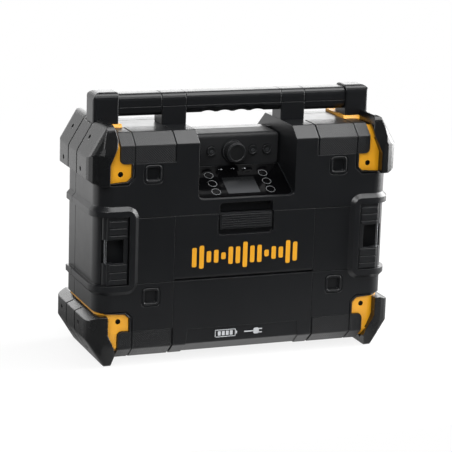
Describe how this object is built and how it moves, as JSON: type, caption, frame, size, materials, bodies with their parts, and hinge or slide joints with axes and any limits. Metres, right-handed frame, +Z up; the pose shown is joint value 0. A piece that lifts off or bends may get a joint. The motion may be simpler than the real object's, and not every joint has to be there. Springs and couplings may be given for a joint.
{
  "type": "jobsite radio",
  "caption": "Stackable jobsite radio and charger with corner bumpers, carry handle, sloped display, control knob, drop-down door over a charging bay and side stacking latches.",
  "frame": {"origin": "on the ground, under the middle of the bounding box", "axes": "+Z up, -Y out of the front face with the door and controls, +X to the right as seen from the front"},
  "size_m": [0.44, 0.16, 0.3595],
  "materials": {
    "black_plastic": "moulded ABS, fine spark texture",
    "bumper_plastic": "moulded, satin",
    "yellow_plastic": "moulded ABS, self-coloured yellow",
    "grille_steel": "perforated sheet, powder coated black",
    "speaker_frame": "pressed steel, black",
    "cone_paper": "treated paper, dark grey",
    "screw_steel": "zinc plated",
    "black_steel": "steel with a black oxide finish",
    "spring_steel": "drawn wire",
    "plated_steel": "pressed, plated",
    "circuit_board": "glass-epoxy laminate, green mask",
    "display_glass": "polished clear sheet, printed black behind",
    "knob_rubber": "soft-touch moulding",
    "seal_rubber": "extruded, matt",
    "inner_plastic": "moulded ABS, matt"
  },
  "bodies": {
    "case": {"front_housing": "black_plastic", "rear_housing": "black_plastic", "lower_panel": "black_plastic", "grille_top_left": "grille_steel", "grille_top_right": "grille_steel", "grille_bottom_left": "grille_steel", "grille_bottom_right": "grille_steel", "speaker_top_left": "speaker_frame", "speaker_top_right": "speaker_frame", "speaker_bottom_left": "speaker_frame", "speaker_bottom_right": "speaker_frame", "cone_top_left": "cone_paper", "cone_top_right": "cone_paper", "cone_bottom_left": "cone_paper", "cone_bottom_right": "cone_paper", "guard_top_left": "bumper_plastic", "guard_top_right": "bumper_plastic", "guard_bottom_left": "bumper_plastic", "guard_bottom_right": "bumper_plastic", "corner_frame_top_left": "yellow_plastic", "corner_frame_top_right": "yellow_plastic", "corner_frame_bottom_left": "yellow_plastic", "corner_frame_bottom_right": "yellow_plastic", "frame_screws": "black_steel", "guard_screws": "black_steel", "handle_grip": "black_plastic", "handle_rail_left": "black_plastic", "handle_rail_right": "black_plastic", "handle_post_left": "black_plastic", "handle_post_right": "black_plastic", "handle_end_left": "black_plastic", "handle_end_right": "black_plastic", "control_panel": "black_plastic", "display_window": "display_glass", "display_module": "plated_steel", "display_board": "circuit_board", "control_board": "circuit_board", "rotary_encoder": "plated_steel", "door_hinge_pin": "screw_steel", "door_seal": "seal_rubber", "charger_bay": "inner_plastic", "battery_dock": "inner_plastic", "socket_panel": "inner_plastic", "main_board": "circuit_board", "power_supply": "plated_steel", "mains_inlet": "inner_plastic", "latch_pins": "black_steel", "rear_feet": "seal_rubber", "case_screws": "screw_steel"},
    "door_body": {"door": "black_plastic", "latch_spring": "spring_steel"},
    "latch_body": {"door_latch": "black_plastic"},
    "knob_body": {"tuning_knob": "knob_rubber", "encoder_shaft": "screw_steel"},
    "button_far_left_body": {"button_far_left": "knob_rubber"},
    "button_left_body": {"button_left": "knob_rubber"},
    "button_right_body": {"button_right": "knob_rubber"},
    "button_far_right_body": {"button_far_right": "knob_rubber"},
    "latch_left_body": {"side_latch_left": "black_plastic"},
    "latch_right_body": {"side_latch_right": "black_plastic"}
  },
  "joints": [
    {"name": "door_hinge", "type": "hinge", "parent": "case", "child": "door_body", "pos_m": [0, -0.0675, 0.119], "axis": [1, 0, 0], "range_deg": [0, 90]},
    {"name": "door_latch_slide", "type": "slide", "parent": "door_body", "child": "latch_body", "axis": [0, 0, -1], "range_m": [0, 0.005], "stiffness_N_per_m": 400, "deforming": ["latch_spring"]},
    {"name": "knob_turn", "type": "hinge", "parent": "case", "child": "knob_body", "pos_m": [0, -0.02, 0.2742], "axis": [0, 1, 0], "continuous": true},
    {"name": "button_far_left_press", "type": "slide", "parent": "case", "child": "button_far_left_body", "axis": [0, 1, 0], "range_m": [0, 0.0012], "stiffness_N_per_m": 300},
    {"name": "button_left_press", "type": "slide", "parent": "case", "child": "button_left_body", "axis": [0, 1, 0], "range_m": [0, 0.0012], "stiffness_N_per_m": 300},
    {"name": "button_right_press", "type": "slide", "parent": "case", "child": "button_right_body", "axis": [0, 1, 0], "range_m": [0, 0.0012], "stiffness_N_per_m": 300},
    {"name": "button_far_right_press", "type": "slide", "parent": "case", "child": "button_far_right_body", "axis": [0, 1, 0], "range_m": [0, 0.0012], "stiffness_N_per_m": 300},
    {"name": "side_latch_left_hinge", "type": "hinge", "parent": "case", "child": "latch_left_body", "pos_m": [-0.196, -0.0685, 0.15905], "axis": [0, 0, -1], "range_deg": [0, 90]},
    {"name": "side_latch_right_hinge", "type": "hinge", "parent": "case", "child": "latch_right_body", "pos_m": [0.196, -0.0685, 0.15905], "axis": [0, 0, 1], "range_deg": [0, 90]}
  ]
}
